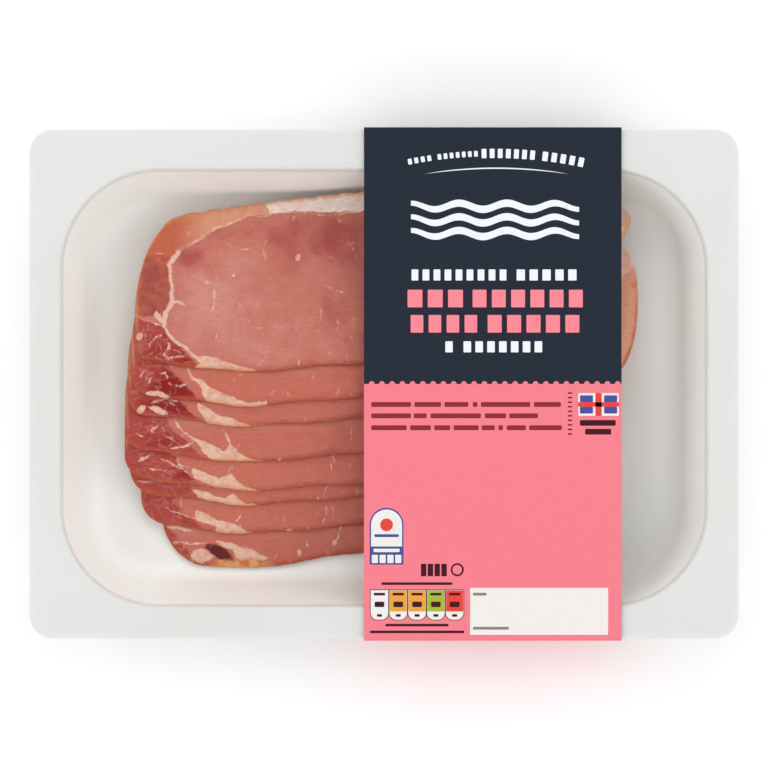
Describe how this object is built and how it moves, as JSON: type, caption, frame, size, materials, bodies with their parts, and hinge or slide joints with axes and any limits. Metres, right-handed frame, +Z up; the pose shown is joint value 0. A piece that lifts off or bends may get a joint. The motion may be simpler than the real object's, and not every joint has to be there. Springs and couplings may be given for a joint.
{
  "type": "bacon pack",
  "caption": "Sealed pack of shingled back bacon rashers in a white formed tray, with a clear lid film and a wrap-round card sleeve.",
  "frame": {"origin": "under the middle of the pack's outline, on the surface that it lies on", "axes": "+X along the rashers and the pack's longest side, +Y towards the rashers' fat edges, +Z up through the lid film"},
  "size_m": [0.25, 0.1808, 0.03],
  "materials": {
    "tray_plastic": "white formed plastic, satin",
    "lid_film": "thin clear plastic film",
    "sleeve_card": "printed card, navy above and pink below, satin",
    "bacon": "moist cured meat with fat seams and a smoked rim"
  },
  "bodies": {
    "root": {"tray": "tray_plastic", "lid_film": "lid_film", "sleeve": "sleeve_card", "rasher_1": "bacon", "rasher_2": "bacon", "rasher_3": "bacon", "rasher_4": "bacon", "rasher_5": "bacon", "rasher_6": "bacon", "rasher_7": "bacon", "rasher_8": "bacon"}
  },
  "joints": []
}
